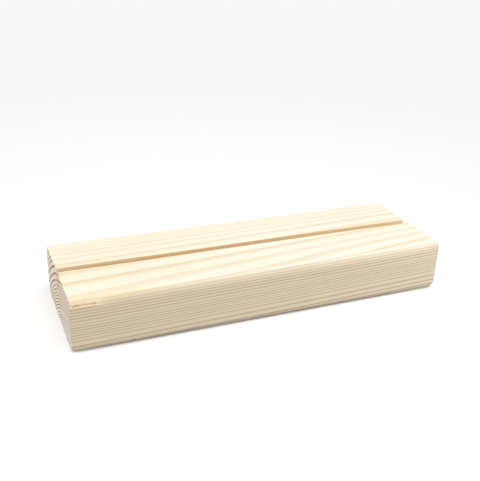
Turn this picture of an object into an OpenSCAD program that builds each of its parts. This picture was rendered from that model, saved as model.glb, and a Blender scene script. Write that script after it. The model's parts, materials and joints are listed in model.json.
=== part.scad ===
// Wooden sign holder: one length of planed softwood with a saw cut along the middle of its top.
// A card, board or acrylic sheet stands upright in the cut.
// Millimetres, +Z up. The origin is the middle of the underside, and +X runs along the slot.

/* [Block] */
// Length of the block, along the slot
block_length = 150; // [60:1:400]
// Width of the block, from front to back
block_width = 48; // [30:0.5:120]
// Height of the block
block_height = 21; // [16:0.5:60]
// Radius of the four planed long edges
edge_radius = 2.8; // [0.5:0.1:5]

/* [Slot] */
// Width of the slot, one saw cut wide
slot_width = 3.2; // [1:0.1:10]
// Depth of the slot below the top face
slot_depth = 9; // [3:0.5:12]

/* [Hidden] */

// How far a cut runs past the face that it opens
cut_margin = 1;
// Roundness of the long edges
$fn = 64;

// What is planed off one long edge, for the edge at the origin of a block in the first quadrant
module edge_waste() {
    difference() {
        translate([-cut_margin, -cut_margin])
            square(edge_radius + cut_margin);
        translate([edge_radius, edge_radius])
            circle(r = edge_radius);
    }
}

// Cross-section of the planed board, standing on the origin
module board_profile() {
    difference() {
        translate([-block_width / 2, 0])
            square([block_width, block_height]);
        for (side = [0, 1], end = [0, 1])
            translate([0, end * block_height])
                mirror([0, end])
                    mirror([side, 0])
                        translate([-block_width / 2, 0])
                            edge_waste();
    }
}

// Cross-section of the saw cut, open at the top
module slot_profile() {
    translate([-slot_width / 2, block_height - slot_depth])
        square([slot_width, slot_depth + cut_margin]);
}

// Turns a cross-section, drawn as seen from the end, into a bar that is centred along X
module bar(length) {
    rotate([90, 0, 90])
        linear_extrude(height = length, center = true)
            children();
}

// The whole holder: the board, with the slot sawn right through both ends
module slotted_block() {
    color("burlywood")
        difference() {
            bar(block_length)
                board_profile();
            bar(block_length + 2 * cut_margin)
                slot_profile();
        }
}

slotted_block();
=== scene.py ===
"""Wooden sign holder: a planed pine block with a saw-cut slot, dressed for a studio picture.

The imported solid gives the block's size and place. This script models the worked surface of the block
around it, grows the pine's rings through the block, and sets up the floor, the light and the camera.
"""
import json
import math
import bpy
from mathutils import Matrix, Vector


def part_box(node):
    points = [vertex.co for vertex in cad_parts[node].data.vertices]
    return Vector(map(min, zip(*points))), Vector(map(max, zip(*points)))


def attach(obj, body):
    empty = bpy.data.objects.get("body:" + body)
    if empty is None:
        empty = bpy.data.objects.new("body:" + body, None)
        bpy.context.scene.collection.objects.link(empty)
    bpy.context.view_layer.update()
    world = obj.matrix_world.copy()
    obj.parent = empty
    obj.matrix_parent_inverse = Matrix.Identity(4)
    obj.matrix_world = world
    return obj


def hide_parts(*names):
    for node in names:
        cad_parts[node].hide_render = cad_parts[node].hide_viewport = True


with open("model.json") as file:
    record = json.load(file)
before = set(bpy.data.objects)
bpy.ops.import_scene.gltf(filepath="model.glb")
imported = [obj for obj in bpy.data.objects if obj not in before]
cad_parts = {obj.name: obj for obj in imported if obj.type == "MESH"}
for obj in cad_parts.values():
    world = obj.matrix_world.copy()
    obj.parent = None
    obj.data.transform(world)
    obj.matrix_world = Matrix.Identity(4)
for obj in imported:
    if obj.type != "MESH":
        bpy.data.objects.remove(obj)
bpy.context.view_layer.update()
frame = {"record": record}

from types import SimpleNamespace

import bmesh
import bpy
from mathutils import Matrix, Vector, noise

bl_info = {
    "name": "Wooden Sign Holder",
    "version": (1, 0, 0),
    "blender": (4, 5, 0),
    "location": "View3D > Sidebar > Sign Holder",
    "description": "Models a slotted pine block that holds a sheet upright, and a stage to show it on",
    "category": "Add Mesh",
}

MM = 0.001
NODE = "slotted_block"
BODY = "root"

BLOCK_LOW, BLOCK_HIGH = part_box(NODE)
SLOT_FLOOR = next(m["pos_m"][2] for m in frame["record"]["mounts"] if m["name"] == "sign_slot")

# Half the block's length, in millimetres
HALF_LENGTH = BLOCK_HIGH.x / MM

# Material indices on the block
PLANED, END_GRAIN, SLOT = range(3)

# Name of the mesh attribute that marks torn wood and paints its light: 1 on fresh fibres, tinted as they
# catch the light, -1 down in a split, where shade is painted
TORN_AND_PAINTED_LIGHT = "torn_and_painted_light"

# How full an edge's rounding is: 2 is round, and 1 would be a flat chamfer
ROUND = 2.0
WORN_FLAT = 1.12

# Faces across a rounded long edge, and across a worn arris
ROUND_SEGMENTS = 16
ARRIS_SEGMENTS = 3

# How near a vertex lies to a cut to count as on it, and how near two vertices lie to be merged
CUT_TOLERANCE = MM / 1e4
MERGE_DISTANCE = 0.002 * MM

# How worn a corner is, by its end, side and height: full wear is 1
CORNER_WEAR = {(1, -1, -1): 1.0, (-1, -1, -1): 1.0, (-1, -1, 1): 1.0, (1, -1, 1): 0.1}
OTHER_CORNERS = 0.5

# Distances from a corner, in millimetres, between which its wear fades out
CORNER_FADE = (1.5, 4.0)

# Distances from the outer faces, in millimetres, at which the ends are sliced before they are worn
WEAR_SLICES = (0.5, 1.0, 1.5, 2.1, 2.8, 4.0, 6.0)

# Course of the split: millimetres from the left end and from the top face, and how far it gapes, up to 1
SPLIT_COURSE = (
    (0.0, 2.45, 0.8), (0.6, 2.4, 0.5), (1.3, 2.8, 1.0), (2.1, 2.65, 1.0),
    (3.2, 2.7, 1.0), (4.2, 2.75, 0.6), (5.2, 2.6, 0.6), (6.3, 2.85, 0.6),
    (7.4, 2.75, 0.6), (8.4, 2.8, 0.9), (9.3, 2.8, 0.8),
)

# Lower and upper edge of the band of fine slices round the split, in millimetres below the top face
SPLIT_BASE = 4.2
SPLIT_CREST = 1.0

# Millimetres from the left end to the band's first slice, and from the split's end to the band's end
SPLIT_START = 0.4
SPLIT_MARGIN = 2.0

# Millimetres between the band's slices, along the block and up
SPLIT_STEP_ALONG = 0.2
SPLIT_STEP_UP = 0.1

# Waves per millimetre and size in millimetres of the jags along the split, and their spacing in the noise
SPLIT_JAGS = ((1.1, 0.1), (3.1, 0.12))
JAG_SPACING = 4

# Millimetres past the split's end, and deep into the wood, between which the split dies out
END_FADE = (-0.6, 0.4)
DEPTH_FADE = (0.0, 0.6)

# Millimetres to either side of the split's course between which its gape closes
GAPE_FADE = (0.15, 0.45)

# Millimetres below the split's course, and above the splinter's lower lip, between which it lifts
RISE_FADE = (0.1, 0.35)
LIP_FADE = (-0.1, 0.1)

# How dark the painted shade on the wood above the split is, and millimetres below the course between which
# that comes and goes
ABOVE_SPLIT_SHADE = 0.3
ABOVE_SPLIT_SHADE_FADE = (-1.2, -0.2)
ABOVE_SPLIT_SHADE_EDGE = (0.0, 0.1)

# Reach of the tuft of torn fibres into the block, half its width, and its slices' size, in millimetres
BURR_REACH = 1.0
BURR_HALF = 1.5
BURR_STEP = 0.25

# Middle of the tuft across the slot, and half the width of its core, in millimetres
BURR_MIDDLE = -0.3
BURR_CORE = 0.3

# Millimetres below the slot's floor where the tuft is full, and above the floor where it ends
BURR_FULL = 0.2
BURR_OVER = 0.01

# Way in which the torn fibres stand out, and their mean length, its spread and its waves per millimetre
BURR_LEAN = Vector((-0.8, 0, 1.0))
BURR_MEAN = 0.75
BURR_SPREAD = 0.6
BURR_WAVES = 1.7

# Waves per millimetre of each grain, along X, Y and Z
SWAY_WAVES = (0.025, 0.08, 0.08)
FIBRE_WAVES = (0.06, 5.0, 5.0)
TONE_WAVES = (0.012, 0.09, 0.09)
STREAK_WAVES = (0.12, 3.2, 3.2)
PORE_WAVES = (1.0, 4.5, 4.5)
SCRATCH_WAVES = (0.3, 0.22, 3.0)
SAWN_FIBRE_WAVES = (0.25, 5.0, 5.0)
BLADE_WAVES = (2.4, 0.3, 0.3)

# How far the rings sway, in millimetres
SWAY = 0.35

# Shares of the year at which latewood is darkest, and at which it ends
DARKEST = 0.92
YEAR_END = 0.965

# Share of the year at which latewood begins on planed and on sawn wood, and how much earlier where the
# painted highlight on the top washes the rings out
PLANED_ONSET = 0.62
SAWN_ONSET = 0.42
HIGHLIGHT_WASHOUT_EARLIER = 0.2

# How dark the latewood of the poorest year is on planed and on sawn wood
PLANED_WEAKEST = 0.55
SAWN_WEAKEST = 0.6

# Heights, in millimetres, between which a painted highlight towards the top, where the most light falls,
# first washes out the planed wood's rings and then pales the wood
HIGHLIGHT_WASHOUT = (16.8, 18.8)
PAINTED_HIGHLIGHT = (19.0, 20.8)

# How much paler latewood is where the painted highlight washes the rings out
HIGHLIGHT_WASHOUT_PALER = 0.55

# Changes over the block: from and to, in millimetres, and how strong the change is at last
# Back paler: the painted highlight fades the top's rings further towards the back
BACK_PALER = (0.0, 8.0, 0.12)
LOW_DARKER = (12.0, 6.0, 0.2)
# Left yellower: painted shade, the planed wood darker and yellower towards the left end, where less light
# falls
LEFT_PAINTED_SHADE = (20.0, -60.0, 0.1)
EXIT_SCORCHED = (4.0, 0.5, 0.4)
# Worn yellower: a darker yellow tint on the worn left end of the top front edge
WORN_YELLOWER = (3.6, 1.6, 0.24)
END_GREYER = (3.0, 11.0, 1.0)
PITH_PALER = (72.0, 65.0, 1.0)
# Slot end paler: painted light on the slot's walls near the open ends, where light comes in
SLOT_END_PAINTED_LIGHT = (HALF_LENGTH - 1.5, HALF_LENGTH, 0.7)

# Values of the noise between which a resin streak shows, and how strong it is
STREAKS = (0.68, 0.76, 0.22)

# Corner of the slot's front lip where the saw came out, in millimetres
SAW_EXIT = (BLOCK_LOW.x / MM, -2.4, BLOCK_HIGH.z / MM)

# Middle of the worn edge at its left end, in millimetres, once lengths along the grain are drawn in
WORN_EDGE = (-6.0, -22.8, 19.8)
DRAWN_IN = (0.08, 1.0, 1.0)

# Middle of the slot in the end's plane, in millimetres, once lengths along the grain are left out
SLOT_END = (0.0, -1.0, 16.0)
END_PLANE = (0.0, 1.0, 1.0)

# How strongly torn wood takes on the colours of fresh fibres, with their light painted in, and of the
# painted shade in the split
TORN_FIBRE_LIT_STRENGTH = 0.6
SPLIT_SHADE_STRENGTH = 0.85

# How strongly the cut fibres shine
SHEEN = 0.25

# Places of the lamps, in metres
OVERHEAD_PLACE = (0.06, -0.22, 0.65)
SIDE_PLACE = (-0.7, 0.08, 0.35)
FRONT_PLACE = (0.30, -0.20, 0.12)

# Half the floor's side, in metres
FLOOR_HALF = 4.0

# How far the block dims the floor's glow, in metres, and how finely that is sampled
CONTACT_REACH = 8 * MM
CONTACT_SAMPLES = 16

# Shares of open sky between which the floor's glow comes in
OPEN_SKY = (0.1, 0.5)

# Metres from the block's middle between which the floor turns evenly white, and then less white
EVEN_FLOOR = (0.05, 0.15)
FAR_FLOOR = (0.14, 0.36)

# Nearest and furthest distance that the camera sees, in metres
CLIP_START = 0.01
CLIP_END = 20.0


def linear(red, green, blue):
    """A colour as it is read off a screen, from 0 to 255, in the linear values that a shader takes."""
    def one(value):
        value /= 255
        if value <= 0.04045:
            return value / 12.92
        return ((value + 0.055) / 1.055) ** 2.4
    return one(red), one(green), one(blue)


def length_property(name, description, millimetres):
    """A length that a user may change, given here in millimetres."""
    return bpy.props.FloatProperty(
        name=name, description=description, default=millimetres * MM, unit="LENGTH", precision=5)


def colour_property(name, description, colour):
    """A colour that a user may change, given here in linear values."""
    return bpy.props.FloatVectorProperty(
        name=name, description=description, default=colour, size=3, subtype="COLOR", min=0.0, max=1.0)


def amount_property(name, description, amount):
    """A plain number that a user may change."""
    return bpy.props.FloatProperty(name=name, description=description, default=amount)


def power_property(name, description, watts):
    """A lamp's power that a user may change."""
    return bpy.props.FloatProperty(
        name=name, description=description, default=watts, subtype="POWER", unit="POWER")


def angle_property(name, description, degrees):
    """An angle that a user may change, given here in degrees."""
    return bpy.props.FloatProperty(
        name=name, description=description, default=math.radians(degrees), subtype="ANGLE")


def place_property(name, description, place):
    """A place that a user may change, given here in metres."""
    return bpy.props.FloatVectorProperty(
        name=name, description=description, default=place, subtype="TRANSLATION", unit="LENGTH")


class HolderSizes(bpy.types.PropertyGroup):
    """Sizes of the block's edges, slot and tool marks."""

    edge_radius: length_property("Edge radius", "Radius of the planed long edges", 2.8)
    top_reach: length_property("Top reach", "How far a top edge's rounding reaches over the top", 2.3)
    top_drop: length_property("Top drop", "How far a top edge's rounding reaches down the side", 4.2)
    sharp_reach: length_property(
        "Sharp reach", "What is left of the top reach at the sharp right corner", 0.9)
    sharp_run: length_property("Sharp run", "Length over which the right corner turns sharp", 6.0)
    worn_reach: length_property("Worn reach", "Top reach at the worn left corner", 3.4)
    worn_drop: length_property("Worn drop", "Top drop at the worn left corner", 3.3)
    worn_run: length_property("Worn run", "Distance from the left end at which the wear is over", 15.0)
    slot_width: length_property("Slot width", "Width of the saw cut in the top", 3.2)
    slot_arris: length_property("Slot arris", "Width of the worn edge along the slot's mouth", 0.3)
    end_arris: length_property("End arris", "Width of the worn edge round both sawn ends", 0.2)
    corner_wear: length_property("Corner wear", "Radius of the most worn corner", 1.0)
    split_depth: length_property("Split depth", "Depth of the split at the front corner", 0.25)
    splinter_lift: length_property("Splinter lift", "How far the splinter under the split stands up", 0.2)
    burr_height: length_property("Burr height", "How far torn fibres stand out under the slot's end", 0.55)


class PineLook(bpy.types.PropertyGroup):
    """How the tree grew, and the colours of its wood."""

    ring_width: length_property("Ring width", "Mean width of one year's growth", 1.6)
    growth_cycle: length_property("Growth cycle", "Radius over which good and poor years come round", 21.0)
    growth_peak: length_property("Growth peak", "Radius in the middle of the poorest years", 73.2)
    growth_swing: amount_property("Growth swing", "How many rings the cycle of years moves a ring", 0.9)
    first_year: amount_property("First year", "Ring number at the pith, which sets where rings fall", 40.37)
    lean_from: length_property("Lean from", "Radius at which a run of lean years begins", 61.0)
    lean_to: length_property("Lean to", "Radius at which the lean years end", 69.0)
    lean_rings: amount_property("Lean rings", "How many more rings the lean years hold", 3.25)
    pith_y: length_property("Pith Y", "Place of the tree's centre, from the block's middle", -31.7)
    pith_z: length_property("Pith Z", "Height of the tree's centre, from the block's underside", -55.4)
    pith_drift_y: length_property("Pith drift Y", "How far the pith moves back over half the length", -0.87)
    pith_drift_z: length_property("Pith drift Z", "How far the pith rises over half the length", 1.92)
    pith_bow_y: length_property("Pith bow Y", "How far the pith bends back towards the ends", -0.42)
    pith_bow_z: length_property("Pith bow Z", "How far the pith bends up towards the ends", 0.32)
    earlywood: colour_property("Earlywood", "Pale wood of spring", linear(250, 234, 208))
    latewood: colour_property("Latewood", "Dark wood of late summer", linear(192, 161, 121))
    # Paler colours of a painted highlight on the top, where the most light falls
    painted_highlight: colour_property(
        "Bleached wood", "Spring wood where light has paled it", linear(252, 246, 227))
    painted_highlight_late: colour_property(
        "Bleached latewood", "Late summer wood where light has paled it", linear(218, 178, 114))
    # A yellow tint: painted shade towards the left end, and a darker tint on the worn edge
    yellow_tint_and_shade: colour_property(
        "Yellowed wood", "Tint towards the left end and on the worn edge", linear(250, 218, 164))
    fibre_tint: colour_property("Fibre tint", "Tint of the darker fibres", linear(196, 160, 112))
    resin_streak: colour_property("Resin streak", "Short streaks along the grain", linear(170, 128, 84))
    scorched: colour_property("Scorched wood", "Tint where the saw came out", linear(244, 192, 124))
    end_earlywood: colour_property(
        "End earlywood", "Spring wood on a sawn end round the slot", linear(251, 234, 208))
    end_greyed: colour_property(
        "End greyed", "Spring wood on a sawn end, away from the slot", linear(250, 239, 221))
    end_palest: colour_property(
        "End palest", "Spring wood on a sawn end, nearer the pith", linear(253, 247, 230))
    end_latewood: colour_property("End latewood", "Late summer wood on a sawn end", linear(116, 94, 72))
    end_resin: colour_property(
        "End resin", "Late summer wood of the best years on a sawn end", linear(148, 104, 76))
    end_pores: colour_property("End pores", "Pores and scratches on a sawn end", linear(150, 122, 96))
    slot_earlywood: colour_property("Slot earlywood", "Spring wood in the slot", linear(249, 227, 186))
    slot_latewood: colour_property("Slot latewood", "Late summer wood in the slot", linear(232, 199, 149))
    slot_marks: colour_property("Slot marks", "Fibres and saw marks in the slot", linear(206, 164, 112))
    # Colours of torn wood: fresh fibres with their light painted in, and painted shade in the split
    torn_fibre_lit: colour_property("Torn fibre", "Fresh fibres that stand up", linear(234, 211, 176))
    split_painted_shade: colour_property("Split wood", "Wood down in the split", linear(186, 160, 126))


class StageLook(bpy.types.PropertyGroup):
    """The floor, the light and the camera."""

    floor_colour: colour_property(
        "Floor colour", "Colour of the floor where the camera sees it", (0.98, 0.98, 0.98))
    floor_bounce: colour_property(
        "Floor bounce", "Colour of the light that the floor throws back", (0.4, 0.4, 0.4))
    floor_glow: amount_property("Floor glow", "How much the floor is whitened near the block", 0.1)
    backdrop_level: amount_property("Backdrop level", "How white the floor is far from the block", 0.945)
    sky_level: amount_property("Sky level", "Light from all around", 0.5)
    lamp_power: power_property("Lamp power", "Power of the lamp overhead", 2.1)
    lamp_size: length_property("Lamp size", "Side of the square lamp overhead", 500.0)
    side_power: power_property("Side power", "Power of the lamp at the left end", 2.2)
    side_size: length_property("Side size", "Side of the square lamp at the left end", 400.0)
    front_power: power_property("Front power", "Power of the lamp at the right of the front", 0.43)
    front_size: length_property("Front size", "Side of the square lamp at the right of the front", 250.0)
    lens: amount_property("Lens", "Focal length of the camera, in millimetres", 53.35)
    camera_azimuth: angle_property("Camera azimuth", "Turn of the camera round the block", -23.43)
    camera_elevation: angle_property("Camera elevation", "Angle of the camera above the floor", 24.36)
    camera_roll: angle_property("Camera roll", "Tilt of the camera about its own axis", 2.18)
    camera_place: place_property("Camera place", "Where the camera stands", (-0.10555, -0.23557, 0.13888))


class Wire:
    """An output socket that takes part in Python arithmetic."""

    def __init__(self, graph, socket):
        self.graph = graph
        self.socket = socket

    def math(self, operation, *others):
        """A Math node whose first value is this one."""
        values = dict(enumerate((self, *others)))
        return self.graph.add("ShaderNodeMath", {"operation": operation}, values)

    def __add__(self, other):
        return self.math("ADD", other)

    def __sub__(self, other):
        return self.math("SUBTRACT", other)

    def __rsub__(self, other):
        return self.graph.add("ShaderNodeMath", {"operation": "SUBTRACT"}, {0: other, 1: self})

    def __mul__(self, other):
        return self.math("MULTIPLY", other)

    def __truediv__(self, other):
        return self.math("DIVIDE", other)

    def __rtruediv__(self, other):
        return self.graph.add("ShaderNodeMath", {"operation": "DIVIDE"}, {0: other, 1: self})

    __radd__ = __add__
    __rmul__ = __mul__


class Graph:
    """The node tree of a material or world, with a method that adds a node to it."""

    def __init__(self, tree):
        self.tree = tree
        tree.nodes.clear()

    def add(self, kind, settings, sockets, output=0):
        """Adds a node, sets it up, fills its sockets with values or wires, and gives one of its outputs."""
        node = self.tree.nodes.new(kind)
        for name, value in settings.items():
            setattr(node, name, value)
        for name, value in sockets.items():
            if isinstance(value, Wire):
                self.tree.links.new(value.socket, node.inputs[name])
            else:
                node.inputs[name].default_value = value
        if not node.outputs:
            return None
        return Wire(self, node.outputs[output])

    def axes(self, place):
        """The X, Y and Z of a place."""
        return [self.add("ShaderNodeSeparateXYZ", {}, {0: place}, axis) for axis in "XYZ"]

    def scaled(self, place, factors):
        """A place stretched or drawn in along X, Y and Z."""
        return self.add("ShaderNodeVectorMath", {"operation": "MULTIPLY"}, {0: place, 1: factors})

    def distance(self, place, point):
        """How far a place is from a point."""
        return self.add("ShaderNodeVectorMath", {"operation": "DISTANCE"}, {0: place, 1: point}, "Value")

    def mix(self, factor, first, second):
        """One colour faded into another."""
        settings = {"data_type": "RGBA", "clamp_factor": True}
        return self.add("ShaderNodeMix", settings, {0: factor, 6: solid(first), 7: solid(second)}, 2)

    def ramp(self, value, low, high, amount=1.0):
        """A smooth step from 0 at low to an amount at high."""
        settings = {"interpolation_type": "SMOOTHSTEP"}
        sockets = {"Value": value, "From Min": low, "From Max": high, "To Max": amount}
        return self.add("ShaderNodeMapRange", settings, sockets)

    def noise(self, place, waves, detail=2.0, roughness=0.5):
        """Noise about 0.5 at a place in millimetres, with its waves per millimetre along X, Y and Z."""
        waved = self.scaled(place, waves)
        sockets = {"Vector": waved, "Scale": 1.0, "Detail": detail, "Roughness": roughness}
        return self.add("ShaderNodeTexNoise", {}, sockets)

    def bump(self, relief, strength, depth):
        """The lie of a surface with a relief, whose depth is in millimetres."""
        sockets = {"Strength": strength, "Distance": depth * MM, "Height": relief}
        return self.add("ShaderNodeBump", {}, sockets)


def solid(colour):
    """A colour socket's value: a wire as it is, or three numbers made opaque."""
    if isinstance(colour, Wire):
        return colour
    return (*colour, 1.0)


def new_graph(name):
    """A new material of that name and the graph of its nodes."""
    material = bpy.data.materials.new(name)
    material.use_nodes = True
    return material, Graph(material.node_tree)


def grow_rings(graph, look):
    """Grows the tree through the block.

    Gives a place in millimetres, its distance from the pith, the share of the year in which the wood there
    grew, and how good that year was.
    """
    metres = graph.add("ShaderNodeTexCoord", {}, {}, "Object")
    place = graph.add("ShaderNodeVectorMath", {"operation": "SCALE"}, {0: metres, "Scale": 1 / MM})
    x, y, z = graph.axes(place)
    along = x / HALF_LENGTH
    bow = along * along
    from_pith_y = y - along * (look.pith_drift_y / MM) - bow * (look.pith_bow_y / MM) - look.pith_y / MM
    from_pith_z = z - along * (look.pith_drift_z / MM) - bow * (look.pith_bow_z / MM) - look.pith_z / MM
    radius = (from_pith_y * from_pith_y + from_pith_z * from_pith_z).math("SQRT")
    radius = radius + (graph.noise(place, SWAY_WAVES) - 0.5) * SWAY
    cycle = (radius - look.growth_peak / MM) * (2 * math.pi * MM / look.growth_cycle)
    lean = graph.ramp(radius, look.lean_from / MM, look.lean_to / MM) * look.lean_rings
    year = radius * (MM / look.ring_width) + cycle.math("SINE") * look.growth_swing + lean - look.first_year
    season = year.math("FRACT")
    number = year.math("FLOOR")
    vigour = graph.add("ShaderNodeTexWhiteNoise", {"noise_dimensions": "1D"}, {"W": number})
    return SimpleNamespace(place=place, radius=radius, season=season, vigour=vigour)


def late_wood(graph, wood, onset, weakest):
    """How dark a ring is: it darkens from its onset, a share of the year, and ends sharply with the year.

    The ring of the poorest year is only as dark as weakest.
    """
    ring = graph.ramp(wood.season, onset, DARKEST) * (1.0 - graph.ramp(wood.season, YEAR_END, 1.0))
    return ring * (weakest + wood.vigour * (1.0 - weakest))


def mottle(base, *grains):
    """An uneven amount about a base, from noises about 0.5 and how strongly each counts."""
    for grain, strength in grains:
        base = base + (grain - 0.5) * strength
    return base


def tear_and_painted_light(graph, look, colour):
    """Colours the wood where it tore: pale on fresh fibres, with the light they catch painted in, and
    painted shade down in a split and above it.
    """
    torn_and_painted_light = graph.add("ShaderNodeAttribute", {"attribute_name": TORN_AND_PAINTED_LIGHT}, {}, "Fac")
    colour = graph.mix(torn_and_painted_light.math("MAXIMUM", 0.0) * TORN_FIBRE_LIT_STRENGTH, colour, look.torn_fibre_lit)
    return graph.mix((0.0 - torn_and_painted_light).math("MAXIMUM", 0.0) * SPLIT_SHADE_STRENGTH, colour, look.split_painted_shade)


def finish(graph, colour, roughness, bump):
    """The bare wood's shader: matt, with a weak sheen from the cut fibres."""
    sockets = {"Base Color": colour, "Roughness": roughness, "Normal": bump, "Specular IOR Level": SHEEN}
    surface = graph.add("ShaderNodeBsdfPrincipled", {}, sockets)
    graph.add("ShaderNodeOutputMaterial", {}, {"Surface": surface})


def planed_pine(look):
    """Pine as the planer leaves it: rings, fine fibres and short resin streaks along the grain, with a
    painted highlight on the top and painted shade towards the left end.
    """
    material, graph = new_graph("Planed pine")
    wood = grow_rings(graph, look)
    place = wood.place
    along, across, height = graph.axes(place)
    # Painted highlight: towards the top, and more towards the back, the rings wash out and the wood turns
    # paler, where the most light falls
    highlight_washout = graph.ramp(height, *HIGHLIGHT_WASHOUT)
    painted_highlight = graph.ramp(height, *PAINTED_HIGHLIGHT)
    late = late_wood(graph, wood, PLANED_ONSET - highlight_washout * HIGHLIGHT_WASHOUT_EARLIER, PLANED_WEAKEST)
    late = late * (1.0 - highlight_washout * (HIGHLIGHT_WASHOUT_PALER + graph.ramp(across, *BACK_PALER)))
    late = late * (1.0 + graph.ramp(height, *LOW_DARKER))
    fibre = graph.noise(place, FIBRE_WAVES, 3.0, 0.6)
    tone = graph.noise(place, TONE_WAVES)
    streak = graph.ramp(graph.noise(place, STREAK_WAVES, 1.0), *STREAKS)
    from_exit = graph.distance(place, SAW_EXIT)
    from_worn = graph.distance(graph.scaled(place, DRAWN_IN), WORN_EDGE)
    pale = graph.mix(painted_highlight, look.earlywood, look.painted_highlight)
    dark = graph.mix(painted_highlight, look.latewood, look.painted_highlight_late)
    colour = graph.mix(late, pale, dark)
    colour = graph.mix(mottle(0.05, (fibre, 0.35), (tone, 0.2)), colour, look.fibre_tint)
    colour = graph.mix(streak, colour, look.resin_streak)
    # Painted shade towards the left end, and a darker yellow tint on the worn edge
    colour = graph.mix(graph.ramp(along, *LEFT_PAINTED_SHADE), colour, look.yellow_tint_and_shade)
    colour = graph.mix(graph.ramp(from_exit, *EXIT_SCORCHED), colour, look.scorched)
    colour = graph.mix(graph.ramp(from_worn, *WORN_YELLOWER), colour, look.yellow_tint_and_shade)
    colour = tear_and_painted_light(graph, look, colour)
    roughness = mottle(0.66, (fibre, 0.12)) - late * 0.1
    finish(graph, colour, roughness, graph.bump(late * 0.35 + fibre * 0.5, 0.35, 0.06))
    return material


def sawn_end(look):
    """End grain: the same rings cut across, greyer, with darker latewood and faint saw scratches."""
    material, graph = new_graph("Sawn end grain")
    wood = grow_rings(graph, look)
    place = wood.place
    late = late_wood(graph, wood, SAWN_ONSET, SAWN_WEAKEST)
    pore = graph.noise(place, PORE_WAVES, 2.0, 0.6)
    scratch = graph.noise(place, SCRATCH_WAVES)
    from_slot = graph.distance(graph.scaled(place, END_PLANE), SLOT_END)
    early = graph.mix(graph.ramp(from_slot, *END_GREYER), look.end_earlywood, look.end_greyed)
    early = graph.mix(graph.ramp(wood.radius, *PITH_PALER), early, look.end_palest)
    dark = graph.mix(wood.vigour * wood.vigour, look.end_latewood, look.end_resin)
    colour = graph.mix(late, early, dark)
    colour = graph.mix(mottle(0.08, (pore, 0.5), (scratch, 0.25)), colour, look.end_pores)
    colour = tear_and_painted_light(graph, look, colour)
    roughness = mottle(0.82, (pore, 0.1))
    finish(graph, colour, roughness, graph.bump(pore * 0.6 + scratch * 0.4, 0.5, 0.12))
    return material


def sawn_slot(look):
    """The slot's walls: long grain with the blade's fine marks across it, and painted light near the open
    ends.
    """
    material, graph = new_graph("Sawn slot")
    wood = grow_rings(graph, look)
    place = wood.place
    late = late_wood(graph, wood, SAWN_ONSET, SAWN_WEAKEST)
    fibre = graph.noise(place, SAWN_FIBRE_WAVES, 3.0, 0.6)
    blade = graph.noise(place, BLADE_WAVES)
    from_middle = graph.axes(place)[0].math("ABSOLUTE")
    colour = graph.mix(late * 0.8, look.slot_earlywood, look.slot_latewood)
    colour = graph.mix(mottle(0.06, (fibre, 0.4), (blade, 0.3)), colour, look.slot_marks)
    # Painted light on the walls near the slot's open ends
    colour = graph.mix(graph.ramp(from_middle, *SLOT_END_PAINTED_LIGHT), colour, look.end_earlywood)
    roughness = mottle(0.8, (fibre, 0.1))
    finish(graph, colour, roughness, graph.bump(fibre * 0.6 + blade * 0.5, 0.5, 0.12))
    return material


def sign(value):
    """-1 or 1."""
    return 1 if value > 0 else -1


def fade(value, low, high):
    """A smooth step from 0 at low to 1 at high."""
    share = min(max((value - low) / (high - low), 0), 1)
    return share * share * (3 - 2 * share)


def fade_mm(value, limits):
    """A smooth step of a length in metres between two limits in millimetres."""
    low, high = limits
    return fade(value, low * MM, high * MM)


def steps(first, last, size):
    """Even places from first to last, about a size apart."""
    count = round((last - first) / size)
    return [first + (last - first) * n / count for n in range(count + 1)]


def everywhere(middle):
    """A region that takes in the whole block."""
    return True


def slices(bm, inside, axis, places):
    """Cuts the faces whose middles lie inside a region, square to an axis, at each place along it."""
    normal = Vector((0, 0, 0))
    normal[axis] = 1
    for place in places:
        faces = [face for face in bm.faces if inside(face.calc_center_median())]
        edges = {edge for face in faces for edge in face.edges}
        verts = {vert for face in faces for vert in face.verts}
        bmesh.ops.bisect_plane(
            bm, geom=[*verts, *edges, *faces], dist=CUT_TOLERANCE, plane_co=normal * place, plane_no=normal)


def shade_smooth(vert):
    """Shades the faces round a vertex smoothly."""
    for face in vert.link_faces:
        face.smooth = True


def edge_rounding(place, sizes):
    """How the long edge near a place is rounded: its reach over the flat face, its drop and fullness."""
    if place.z < (BLOCK_LOW.z + BLOCK_HIGH.z) / 2:
        return sizes.edge_radius, sizes.edge_radius, ROUND
    if place.y > 0:
        return sizes.top_reach, sizes.top_drop, ROUND
    sharp = max(1 - (BLOCK_HIGH.x - place.x) / sizes.sharp_run, 0)
    worn = 1 - fade(place.x - BLOCK_LOW.x, sizes.worn_run / 2, sizes.worn_run)
    reach = sizes.top_reach + (sizes.sharp_reach - sizes.top_reach) * sharp
    reach += (sizes.worn_reach - sizes.top_reach) * worn
    drop = sizes.top_drop + (sizes.worn_drop - sizes.top_drop) * worn
    return reach, drop, ROUND + (WORN_FLAT - ROUND) * worn


def from_outline(place, sizes):
    """How deep a place lies inside the board's rounded outline, and the way out of it."""
    middle = (BLOCK_LOW + BLOCK_HIGH) / 2
    side = BLOCK_HIGH.y - abs(place.y)
    face = BLOCK_HIGH.z - middle.z - abs(place.z - middle.z)
    reach, drop, form = edge_rounding(place, sizes)
    if side < reach and face < drop:
        across = 1 - side / reach
        down = 1 - face / drop
        share = (across ** form + down ** form) ** (1 / form)
        out = Vector((0, across ** (form - 1) / reach, down ** (form - 1) / drop))
        depth = (1 - share) * share ** (form - 1) / out.length
    else:
        out = Vector((0, side < face, side >= face))
        depth = min(side, face)
    out.y *= sign(place.y)
    out.z *= sign(place.z - middle.z)
    return depth, out.normalized()


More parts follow.
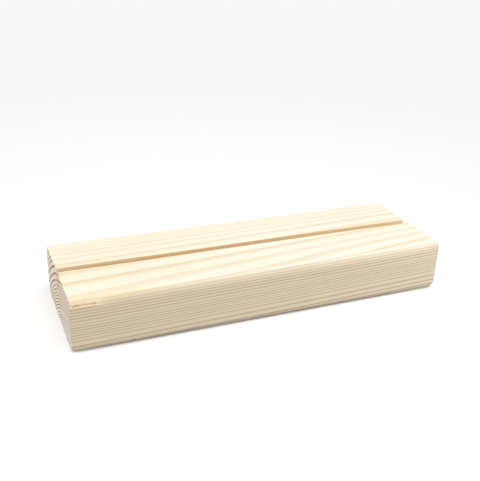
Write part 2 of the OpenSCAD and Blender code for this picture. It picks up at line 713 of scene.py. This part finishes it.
def rough_block(sizes):
    """The sawn board before any edge is worked: the end's outline, drawn out along the grain."""
    low, high = BLOCK_LOW, BLOCK_HIGH
    side = sizes.slot_width / 2
    outline = [
        (low.y, low.z), (high.y, low.z), (high.y, high.z), (side, high.z),
        (side, SLOT_FLOOR), (-side, SLOT_FLOOR), (-side, high.z), (low.y, high.z),
    ]
    bm = bmesh.new()
    end = bm.faces.new([bm.verts.new((low.x, y, z)) for y, z in outline])
    drawn = bmesh.ops.extrude_face_region(bm, geom=[end])["geom"]
    far = [part for part in drawn if isinstance(part, bmesh.types.BMVert)]
    bmesh.ops.translate(bm, verts=far, vec=(high.x - low.x, 0, 0))
    bmesh.ops.recalc_face_normals(bm, faces=bm.faces)
    for face in bm.faces:
        middle = face.calc_center_median()
        if abs(face.normal.x) > 0.5:
            face.material_index = END_GRAIN
        elif abs(middle.y) < side * 1.01 and middle.z > low.z + MM:
            face.material_index = SLOT
    return bm


def bevel(bm, edges, width, segments):
    """Rounds edges, shades the new faces smoothly and gives them."""
    made = bmesh.ops.bevel(
        bm, geom=edges, offset=width, offset_type="OFFSET", affect="EDGES", segments=segments, profile=0.5,
        material=-1)
    for face in made["faces"]:
        face.smooth = True
    return made["faces"]


def ease_top_edges(bm, sizes):
    """Draws the rounding of both top edges out down the sides, as sanding by hand leaves it."""
    worn = steps(BLOCK_LOW.x + sizes.worn_run / 2, BLOCK_LOW.x + sizes.worn_run, MM)
    slices(bm, everywhere, 0, [*worn, BLOCK_HIGH.x - sizes.sharp_run])
    for vert in bm.verts:
        across = 1 - (BLOCK_HIGH.y - abs(vert.co.y)) / sizes.edge_radius
        down = 1 - (BLOCK_HIGH.z - vert.co.z) / sizes.edge_radius
        if across > -0.01 and down > -0.01:
            reach, drop, form = edge_rounding(vert.co, sizes)
            inset = reach * (1 - max(across, 0) ** (ROUND / form))
            vert.co.y = sign(vert.co.y) * (BLOCK_HIGH.y - inset)
            vert.co.z = BLOCK_HIGH.z - drop * (1 - max(down, 0) ** (ROUND / form))


def work_edges(bm, sizes):
    """Rounds the long edges, then takes the sharpness off the slot's mouth and both sawn ends."""
    def runs_along(edge):
        first, last = edge.verts
        return abs(first.co.x - last.co.x) > MM

    def finishes(edge):
        return [face.material_index for face in edge.link_faces]

    outer = [e for e in bm.edges if runs_along(e) and abs(e.verts[0].co.y) > sizes.slot_width]
    bevel(bm, outer, sizes.edge_radius, ROUND_SEGMENTS)
    ease_top_edges(bm, sizes)
    mouth = [e for e in bm.edges if runs_along(e) and set(finishes(e)) == {PLANED, SLOT}]
    for face in bevel(bm, mouth, sizes.slot_arris, ARRIS_SEGMENTS):
        upper = face.calc_center_median().z > BLOCK_HIGH.z - sizes.slot_arris / 2
        face.material_index = PLANED if upper else SLOT
    rims = [e for e in bm.edges if finishes(e).count(END_GRAIN) == 1]
    bevel(bm, rims, sizes.end_arris, ARRIS_SEGMENTS)


def slice_ends(bm):
    """Slices both ends three ways, so that the corners can be worn round."""
    near = [distance * MM for distance in WEAR_SLICES]
    reach = BLOCK_HIGH.x - near[-1]

    def in_ends(middle):
        return abs(middle.x) > reach

    slices(bm, everywhere, 0, [end * (BLOCK_HIGH.x - step) for end in (-1, 1) for step in near])
    slices(bm, in_ends, 1, [side * (BLOCK_HIGH.y - step) for side in (-1, 1) for step in near])
    heights = [BLOCK_LOW.z + step for step in near] + [BLOCK_HIGH.z - step for step in near]
    slices(bm, in_ends, 2, heights)


def wear_corners(bm, sizes):
    """Rounds the ends' rims towards each corner, as far as that corner is worn."""
    middle = (BLOCK_LOW + BLOCK_HIGH) / 2
    for vert in bm.verts:
        place = vert.co
        corner = (sign(place.x), sign(place.y), sign(place.z - middle.z))
        face = BLOCK_HIGH.z - middle.z - abs(place.z - middle.z)
        away = math.hypot(BLOCK_HIGH.y - abs(place.y), face)
        wear = CORNER_WEAR.get(corner, OTHER_CORNERS)
        radius = sizes.corner_wear * wear * (1 - fade_mm(away, CORNER_FADE))
        depth, out = from_outline(place, sizes)
        along = abs(place.x) - BLOCK_HIGH.x + radius
        up = radius - depth
        if along > 0 and up > 0 and math.hypot(along, up) > radius:
            pull = 1 - radius / math.hypot(along, up)
            vert.co = place - out * up * pull - Vector((corner[0] * along * pull, 0, 0))
            shade_smooth(vert)


def split_course(along):
    """Height of the split at a distance from the left end, and how far it gapes there."""
    for (first, top, tight), (last, bottom, loose) in zip(SPLIT_COURSE, SPLIT_COURSE[1:]):
        if along <= last * MM:
            share = (along / MM - first) / (last - first)
            return BLOCK_HIGH.z - (top + (bottom - top) * share) * MM, tight + (loose - tight) * share
    return BLOCK_HIGH.z - bottom * MM, loose


def split_jag(along):
    """How far the split strays from its course at a distance from the left end."""
    jag = 0
    for number, (waves, size) in enumerate(SPLIT_JAGS):
        jag += noise.noise(Vector((along / MM * waves, number * JAG_SPACING, 0))) * size
    return jag * MM


def tear_splinter(bm, sizes, torn_and_painted_light):
    """Opens the split in the front corner's rounded edge and lifts the splinter below it."""
    length = SPLIT_COURSE[-1][0] * MM
    reach = BLOCK_LOW.x + length + SPLIT_MARGIN * MM
    base = BLOCK_HIGH.z - SPLIT_BASE * MM
    crest = BLOCK_HIGH.z - SPLIT_CREST * MM
    lip = BLOCK_HIGH.z - sizes.worn_drop

    def in_front(middle):
        return middle.x < reach and middle.y < BLOCK_LOW.y + sizes.edge_radius

    def in_band(middle):
        return in_front(middle) and base < middle.z < crest

    slices(bm, everywhere, 0, [reach])
    slices(bm, in_front, 2, [base, crest])
    slices(bm, in_band, 0, steps(BLOCK_LOW.x + SPLIT_START * MM, reach, SPLIT_STEP_ALONG * MM))
    slices(bm, in_band, 2, steps(base, crest, SPLIT_STEP_UP * MM))
    for vert in bm.verts:
        if not in_band(vert.co):
            continue
        along = vert.co.x - BLOCK_LOW.x
        depth, out = from_outline(vert.co, sizes)
        height, open_here = split_course(along)
        below = height + split_jag(along) - vert.co.z
        held = (1 - fade_mm(along - length, END_FADE)) * (1 - fade_mm(depth, DEPTH_FADE))
        gape = (1 - fade_mm(abs(below), GAPE_FADE)) * held * open_here
        rise = fade_mm(below, RISE_FADE) * fade_mm(vert.co.z - lip, LIP_FADE) * held
        # Painted shade on the wood just above the split
        above_split_shade = ABOVE_SPLIT_SHADE * fade_mm(below, ABOVE_SPLIT_SHADE_FADE) * (1 - fade_mm(below, ABOVE_SPLIT_SHADE_EDGE)) * held * open_here
        vert.co += out * (rise * sizes.splinter_lift - gape * sizes.split_depth)
        # In the colour, the split's gape and the wood just above it take painted shade, and the lifted
        # splinter the fresh-fibre tint with its light painted in
        vert[torn_and_painted_light] = rise - max(gape, above_split_shade)
        shade_smooth(vert)


def raise_burr(bm, sizes, torn_and_painted_light):
    """Leaves a tuft of fibres, ripped up where the saw came out under the slot's left end, tinted as fresh
    fibres with their light painted in.
    """
    reach = BLOCK_LOW.x + BURR_REACH * MM
    half = BURR_HALF * MM
    low, high = SLOT_FLOOR - half, SLOT_FLOOR + BURR_OVER * MM

    def in_strip(middle):
        return middle.x < reach and low < middle.z < high

    def in_patch(middle):
        return in_strip(middle) and abs(middle.y) < half

    slices(bm, in_strip, 1, steps(-half, half, BURR_STEP * MM))
    slices(bm, in_patch, 2, steps(low, SLOT_FLOOR - sizes.end_arris, BURR_STEP * MM))
    for vert in bm.verts:
        if not in_patch(vert.co):
            continue
        ragged = BURR_MEAN + noise.noise(vert.co / MM * BURR_WAVES) * BURR_SPREAD
        aside = fade(abs(vert.co.y - BURR_MIDDLE * MM), BURR_CORE * MM, half)
        tuft = fade(vert.co.z, low, SLOT_FLOOR - BURR_FULL * MM) * (1 - aside)
        near = 1 - fade(vert.co.x, BLOCK_LOW.x, reach)
        vert.co += BURR_LEAN * sizes.burr_height * tuft * ragged * near
        # The tuft takes the fresh-fibre tint, with the light it catches painted in
        vert[torn_and_painted_light] = max(vert[torn_and_painted_light], tuft * near)
        shade_smooth(vert)


def new_piece(name, bm, materials):
    """A finished object at the origin from a bmesh, which is freed."""
    mesh = bpy.data.meshes.new(name)
    bm.to_mesh(mesh)
    bm.free()
    for material in materials:
        mesh.materials.append(material)
    piece = bpy.data.objects.new(name, mesh)
    bpy.context.scene.collection.objects.link(piece)
    return piece


def seen_directly(graph):
    """1 for what is seen, also in gloss and through glass, and 0 for light that falls on the object."""
    camera = graph.add("ShaderNodeLightPath", {}, {}, "Is Camera Ray")
    gloss = graph.add("ShaderNodeLightPath", {}, {}, "Is Glossy Ray")
    glass = graph.add("ShaderNodeLightPath", {}, {}, "Is Transmission Ray")
    return camera.math("MAXIMUM", gloss).math("MAXIMUM", glass)


def add_floor(look):
    """A wide white floor that keeps the block's shadow."""
    bm = bmesh.new()
    bmesh.ops.create_grid(bm, x_segments=1, y_segments=1, size=FLOOR_HALF)
    bmesh.ops.translate(bm, verts=bm.verts, vec=(0, 0, BLOCK_LOW.z))
    material, graph = new_graph("Floor")
    seen = seen_directly(graph)
    place = graph.add("ShaderNodeTexCoord", {}, {}, "Object")
    from_middle = graph.distance(place, (0.0, 0.0, 0.0))
    colour = graph.mix(seen, look.floor_bounce, look.floor_colour)
    matt = graph.add("ShaderNodeBsdfDiffuse", {}, {"Color": colour})
    contact = {"samples": CONTACT_SAMPLES}
    open_sky = graph.add("ShaderNodeAmbientOcclusion", contact, {"Distance": CONTACT_REACH}, "AO")
    white = graph.ramp(open_sky, *OPEN_SKY) * look.floor_glow
    glow = graph.add("ShaderNodeEmission", {}, {"Strength": seen * white})
    near = graph.add("ShaderNodeAddShader", {}, {0: matt, 1: glow})
    level = 1.0 - graph.ramp(from_middle, *FAR_FLOOR) * (1.0 - look.backdrop_level)
    far = graph.add("ShaderNodeEmission", {}, {"Strength": level})
    away = graph.ramp(from_middle, *EVEN_FLOOR)
    surface = graph.add("ShaderNodeMixShader", {}, {0: seen * away, 1: near, 2: far})
    graph.add("ShaderNodeOutputMaterial", {}, {"Surface": surface})
    new_piece("floor", bm, [material])


def add_sky(scene, look):
    """Even white light from all around, which the camera sees as pale as the far floor."""
    world = bpy.data.worlds.new("Studio")
    world.use_nodes = True
    graph = Graph(world.node_tree)
    level = seen_directly(graph) * (look.backdrop_level - look.sky_level) + look.sky_level
    sky = graph.add("ShaderNodeBackground", {}, {"Color": (1.0, 1.0, 1.0, 1.0), "Strength": level})
    graph.add("ShaderNodeOutputWorld", {}, {"Surface": sky})
    scene.world = world


def add_lamp(scene, name, power, size, place):
    """A square soft lamp that looks at the block."""
    lamp = bpy.data.lights.new(name, "AREA")
    lamp.energy = power
    lamp.size = size
    holder = bpy.data.objects.new(name, lamp)
    holder.location = place
    holder.rotation_euler = Vector(place).to_track_quat("Z", "Y").to_euler()
    scene.collection.objects.link(holder)


def add_camera(scene, look):
    """The camera at the photograph's place, with no shift and no depth of field."""
    lens = bpy.data.cameras.new("Camera")
    lens.lens = look.lens
    lens.clip_start = CLIP_START
    lens.clip_end = CLIP_END
    camera = bpy.data.objects.new("Camera", lens)
    turn = Matrix.Rotation(look.camera_azimuth, 4, "Z")
    tilt = Matrix.Rotation(math.pi / 2 - look.camera_elevation, 4, "X")
    roll = Matrix.Rotation(look.camera_roll, 4, "Z")
    camera.matrix_world = Matrix.Translation(look.camera_place) @ turn @ tilt @ roll
    scene.collection.objects.link(camera)
    scene.camera = camera


class SIGNHOLDER_OT_block(bpy.types.Operator):
    """Model the slotted pine block in place of its plain solid"""

    bl_idname = "sign_holder.add_block"
    bl_label = "Add Slotted Block"

    def execute(self, context):
        sizes = context.scene.holder_sizes
        look = context.scene.pine_look
        bm = rough_block(sizes)
        work_edges(bm, sizes)
        slice_ends(bm)
        wear_corners(bm, sizes)
        torn_and_painted_light = bm.verts.layers.float.new(TORN_AND_PAINTED_LIGHT)
        tear_splinter(bm, sizes, torn_and_painted_light)
        raise_burr(bm, sizes, torn_and_painted_light)
        bmesh.ops.remove_doubles(bm, verts=bm.verts, dist=MERGE_DISTANCE)
        block = new_piece("pine_block", bm, [planed_pine(look), sawn_end(look), sawn_slot(look)])
        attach(block, BODY)
        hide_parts(NODE)
        return {"FINISHED"}


class SIGNHOLDER_OT_stage(bpy.types.Operator):
    """Add the pale floor, the studio light and the camera"""

    bl_idname = "sign_holder.add_stage"
    bl_label = "Add Stage"

    def execute(self, context):
        scene = context.scene
        look = scene.stage_look
        add_floor(look)
        add_sky(scene, look)
        add_lamp(scene, "Overhead lamp", look.lamp_power, look.lamp_size, OVERHEAD_PLACE)
        add_lamp(scene, "Side lamp", look.side_power, look.side_size, SIDE_PLACE)
        add_lamp(scene, "Front lamp", look.front_power, look.front_size, FRONT_PLACE)
        add_camera(scene, look)
        scene.view_settings.view_transform = "Standard"
        return {"FINISHED"}


class SIGNHOLDER_PT_sidebar(bpy.types.Panel):
    """Lists the steps and their sizes"""

    bl_label = "Sign Holder"
    bl_space_type = "VIEW_3D"
    bl_region_type = "UI"
    bl_category = "Sign Holder"

    def draw(self, context):
        groups = (context.scene.holder_sizes, context.scene.pine_look, context.scene.stage_look)
        for group in groups:
            column = self.layout.column()
            for name in group.__annotations__:
                column.prop(group, name)
        self.layout.operator(SIGNHOLDER_OT_block.bl_idname)
        self.layout.operator(SIGNHOLDER_OT_stage.bl_idname)


CLASSES = (
    HolderSizes,
    PineLook,
    StageLook,
    SIGNHOLDER_OT_block,
    SIGNHOLDER_OT_stage,
    SIGNHOLDER_PT_sidebar,
)


def register():
    """Adds the classes, and the settings to the scene."""
    for cls in CLASSES:
        bpy.utils.register_class(cls)
    bpy.types.Scene.holder_sizes = bpy.props.PointerProperty(type=HolderSizes)
    bpy.types.Scene.pine_look = bpy.props.PointerProperty(type=PineLook)
    bpy.types.Scene.stage_look = bpy.props.PointerProperty(type=StageLook)


def unregister():
    """Takes the settings and the classes away again."""
    del bpy.types.Scene.stage_look
    del bpy.types.Scene.pine_look
    del bpy.types.Scene.holder_sizes
    for cls in reversed(CLASSES):
        bpy.utils.unregister_class(cls)


def main():
    """Makes the block and its stage."""
    register()
    bpy.ops.sign_holder.add_block()
    bpy.ops.sign_holder.add_stage()


if __name__ == "__main__":
    main()
